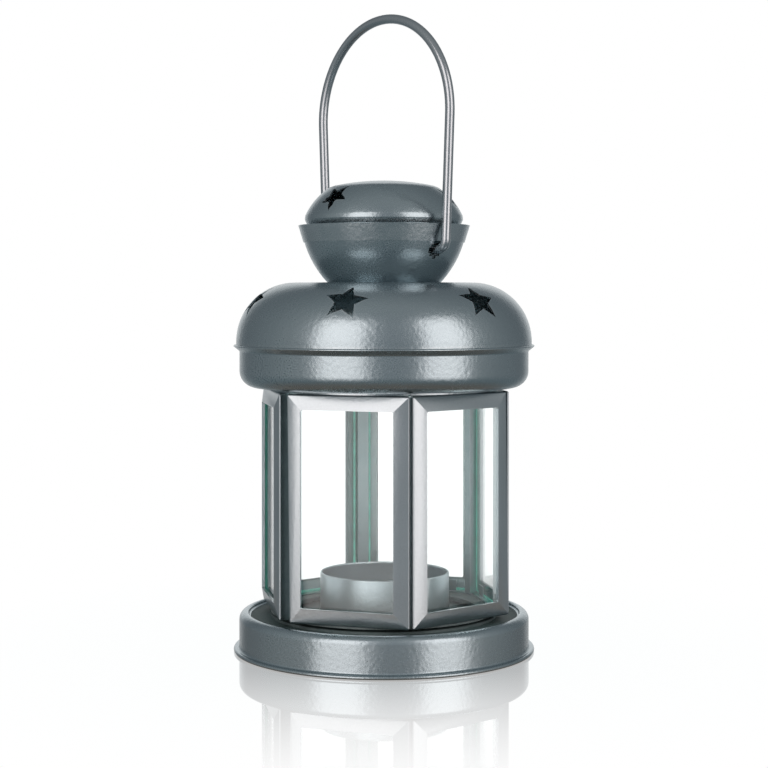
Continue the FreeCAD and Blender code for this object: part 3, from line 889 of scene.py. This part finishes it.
class LANTERN_OT_glass(Operator):
    """Set the six panes: clear faces, ground green edges."""
    bl_idname = "lantern.glass"
    bl_label = "Glass panes"

    def execute(self, context):
        for side in range(1, SIDES + 1):
            name = f"glass_pane_{side}"
            bm = bmesh.new()
            bm.from_mesh(NODES[name].data)
            bmesh.ops.remove_doubles(bm, verts=bm.verts[:], dist=WELD)
            bmesh.ops.dissolve_limit(bm, angle_limit=radians(PANE_FLAT), verts=bm.verts[:], edges=bm.edges[:])
            bmesh.ops.bevel(
                bm, geom=bm.edges[:], offset=PANE_ARRIS, segments=1, profile=0.5, affect="EDGES", material=-1)
            clear = sorted(bm.faces, key=lambda face: face.calc_area())[-2:]
            inwards = -outwards(radians(SIDE_TURN * (side - 1)))
            bmesh.ops.translate(bm, verts=bm.verts[:], vec=inwards * PANE_SET_BACK)
            for face in bm.faces:
                face.material_index = 0 if face in clear else 1
            finished(f"pane_{side}", bm, [window_glass(), glass_edge()], "cage", [name],
                     smooth_angle=1)
        return {"FINISHED"}


class LANTERN_OT_fittings(Operator):
    """Paint the rings, the rivets, the lock ring and the bail, which keep their own shapes."""
    bl_idname = "lantern.fittings"
    bl_label = "Rings, rivets and bail"

    def execute(self, context):
        for name in ("cage_top_ring", "neck_eyelet"):
            NODES[name].material_slots[0].material = hammered_paint()
        # Painted shade: the foot ring, the lock ring and the cup rivet sit in shade and take the dark shade
        # paint.
        for name in ("cage_foot_ring", "lock_ring", "cup_rivet"):
            NODES[name].material_slots[0].material = painted_shade_paint()
        NODES["wire_handle"].material_slots[0].material = wire_paint()
        return {"FINISHED"}


# Studio -------------------------------------------------------------------------------------------

# From straight behind the lantern, at 0, to the camera's side of it, at 1.
ROOM = ((0.02, (1.0, 1.0, 1.0)), (0.10, (0.165, 0.185, 0.20)), (0.41, (0.27, 0.29, 0.30)),
        (0.63, (0.36, 0.375, 0.38)), (1.0, (0.30, 0.32, 0.34)))
WHITE = (1, 1, 1, 1)
PANE_GAIN = 0.3

FLOOR_SIZE = 6.0
MIRROR_COLOUR = (0.97, 0.99, 0.99, 1)
MIRROR_SHARE = 0.58
MIRROR_NEAR = 0.052            # the floor's mirror is full here, and gone further out
MIRROR_FAR = 0.170
STEEP_VIEW = 0.66              # facing where the mirror starts to show, and where it shows in full
LOW_VIEW = 0.79
# Painted light: colours of the floor's dim glow as the lantern sees it, warm near the foot and cool further
# out.
UNDER_WARM = (0.20, 0.172, 0.15, 1)
UNDER_COOL = (0.185, 0.22, 0.235, 1)
UNDER_NEAR = 0.09
UNDER_FAR = 0.17
SHEEN_ROUGH = 0.25
SHEEN_STARTS = 0.5
SHEEN_FULL = 0.85
SHEEN_SHARE = 0.85

LAMP_COLOUR = (1.0, 0.88, 0.845)
SOFT_BOXES = (("left_box", -34, 0.95), ("right_box", 48, 0.85))  # turn from the camera, width
BOX_FOOT = -0.10
BOX_TOP = 1.35


def seen_straight(tree):
    """One for what the camera sees directly, in the floor's mirror or through the panes."""
    path = tree.add("ShaderNodeLightPath").outputs
    mirrored = tree.maths("MAXIMUM", path["Is Camera Ray"], path["Is Singular Ray"])
    return tree.maths("MAXIMUM", mirrored, path["Is Transmission Ray"])


def pane_gain(tree):
    """Lifts what is seen through the panes, so that the white room stays white behind them."""
    path = tree.add("ShaderNodeLightPath").outputs
    return tree.maths("ADD", 1.0, tree.maths("MULTIPLY", path["Is Transmission Ray"], PANE_GAIN))


def plain_world(scene, towards):
    """White where the camera looks; reflections see a white wall behind and a dim room in front."""
    world = bpy.data.worlds.new("studio")
    scene.world = world
    world.use_nodes = True
    tree = Nodes(world.node_tree)
    way = tree.add("ShaderNodeTexCoord").outputs["Generated"]
    facing = tree.add("ShaderNodeVectorMath", {0: way, 1: towards}, operation="DOT_PRODUCT").outputs["Value"]
    room = tree.add("ShaderNodeValToRGB", {"Fac": tree.ramp(facing, -1.0, 1.0)})
    stops = room.color_ramp.elements
    while len(stops) < len(ROOM):
        stops.new(0.5)
    for stop, (position, colour) in zip(stops, ROOM):
        stop.position = position
        stop.color = (*colour, 1)
    backdrop = world.node_tree.nodes["Background"].inputs
    tree.link(tree.blend(seen_straight(tree), room.outputs["Color"], WHITE), backdrop["Color"])
    tree.link(pane_gain(tree), backdrop["Strength"])


def floor_finish():
    """White gloss floor that mirrors the lantern close to its foot; the lantern itself sees it as a dim
    painted glow, warmer near its foot.
    """
    material, tree, plain, place = new_finish("studio_floor")
    material.node_tree.nodes.remove(plain)
    away = tree.add("ShaderNodeVectorMath", {0: place}, operation="LENGTH").outputs["Value"]
    facing = tree.add("ShaderNodeLayerWeight", {"Blend": 0.5}).outputs["Facing"]

    white = tree.add("ShaderNodeEmission", {"Color": WHITE, "Strength": pane_gain(tree)})
    mirror = tree.add("ShaderNodeBsdfGlossy", {"Color": MIRROR_COLOUR, "Roughness": 0.0})
    near = tree.ramp(away, MIRROR_NEAR, MIRROR_FAR, low=MIRROR_SHARE, high=0.0)
    share = tree.maths("MULTIPLY", near, tree.ramp(facing, STEEP_VIEW, LOW_VIEW))
    shown = tree.join(share, white.outputs[0], mirror.outputs[0])

    # Painted light: what the lantern sees of the floor is a dim glow, warm near the foot and cool further
    # out.
    under = tree.blend(tree.ramp(away, UNDER_NEAR, UNDER_FAR), UNDER_WARM, UNDER_COOL)
    dim = tree.add("ShaderNodeEmission", {"Color": under, "Strength": 1.0})
    sheen = tree.add("ShaderNodeBsdfGlossy", {"Color": WHITE, "Roughness": SHEEN_ROUGH})
    graze = tree.ramp(facing, SHEEN_STARTS, SHEEN_FULL, high=SHEEN_SHARE)
    cast = tree.join(graze, dim.outputs[0], sheen.outputs[0])

    tree.link(tree.join(seen_straight(tree), cast, shown),
              material.node_tree.nodes["Material Output"].inputs["Surface"])
    return material


def soft_box(name, turn, width, studio):
    """A tall soft box that faces the lantern, turned round from the camera's side."""
    lamp = bpy.data.lights.new(name, "AREA")
    lamp.shape = "RECTANGLE"
    lamp.size = width
    lamp.size_y = BOX_TOP - BOX_FOOT
    lamp.energy = studio.lamp_power * lamp.size * lamp.size_y
    lamp.color = LAMP_COLOUR
    outward = outwards(studio.camera_turn + radians(turn))
    box = bpy.data.objects.new(name, lamp)
    box.location = outward * studio.lamp_distance + UP * (BOX_FOOT + BOX_TOP) / 2
    box.rotation_euler = (-outward).to_track_quat("-Z", "Y").to_euler()
    bpy.context.scene.collection.objects.link(box)


def studio_camera(scene, studio, towards):
    """A level camera, shifted to frame the lantern."""
    camera = bpy.data.cameras.new("camera")
    camera.lens = studio.lens
    camera.sensor_width = 36
    camera.shift_y = studio.frame_shift
    eye = bpy.data.objects.new("camera", camera)
    eye.location = towards * studio.camera_distance + UP * studio.camera_height
    eye.rotation_euler = (-towards).to_track_quat("-Z", "Y").to_euler()
    scene.collection.objects.link(eye)
    scene.camera = eye


class LANTERN_OT_stage(Operator):
    """Lay the floor, set the soft boxes and place the camera."""
    bl_idname = "lantern.stage"
    bl_label = "Floor, lamps and camera"

    def execute(self, context):
        scene = context.scene
        studio = scene.lantern_studio
        towards = outwards(studio.camera_turn)
        bm = bmesh.new()
        bmesh.ops.create_grid(bm, x_segments=8, y_segments=8, size=FLOOR_SIZE)
        mesh = bpy.data.meshes.new("floor")
        bm.to_mesh(mesh)
        bm.free()
        floor = bpy.data.objects.new("floor", mesh)
        scene.collection.objects.link(floor)
        mesh.materials.append(floor_finish())
        plain_world(scene, towards)
        for name, turn, width in SOFT_BOXES:
            soft_box(name, turn, width, studio)
        studio_camera(scene, studio, towards)
        scene.view_settings.view_transform = "Standard"
        return {"FINISHED"}


# Panel and registration ---------------------------------------------------------------------------

OPERATORS = (LANTERN_OT_foot, LANTERN_OT_cup, LANTERN_OT_hood, LANTERN_OT_cap, LANTERN_OT_window_frames,
             LANTERN_OT_glass, LANTERN_OT_fittings, LANTERN_OT_stage)


class LANTERN_PT_panel(Panel):
    """Lists the lantern's settings and pieces."""
    bl_idname = "LANTERN_PT_panel"
    bl_label = "Candle lantern"
    bl_space_type = "VIEW_3D"
    bl_region_type = "UI"
    bl_category = "Lantern"

    def draw(self, context):
        scene = context.scene
        for group in (scene.lantern_finish, scene.lantern_sheet, scene.lantern_studio):
            box = self.layout.box()
            for name in group.bl_rna.properties.keys():
                if name not in ("rna_type", "name"):
                    box.prop(group, name)
        for operator in OPERATORS:
            self.layout.operator(operator.bl_idname)


CLASSES = (LanternFinish, LanternSheet, LanternStudio, *OPERATORS, LANTERN_PT_panel)


def register():
    for cls in CLASSES:
        bpy.utils.register_class(cls)
    bpy.types.Scene.lantern_finish = PointerProperty(type=LanternFinish)
    bpy.types.Scene.lantern_sheet = PointerProperty(type=LanternSheet)
    bpy.types.Scene.lantern_studio = PointerProperty(type=LanternStudio)


def unregister():
    del bpy.types.Scene.lantern_studio
    del bpy.types.Scene.lantern_sheet
    del bpy.types.Scene.lantern_finish
    for cls in reversed(CLASSES):
        bpy.utils.unregister_class(cls)


def main():
    register()
    bpy.ops.lantern.foot()
    bpy.ops.lantern.cup()
    bpy.ops.lantern.hood()
    bpy.ops.lantern.cap()
    bpy.ops.lantern.window_frames()
    bpy.ops.lantern.glass()
    bpy.ops.lantern.fittings()
    bpy.ops.lantern.stage()


if __name__ == "__main__":
    main()
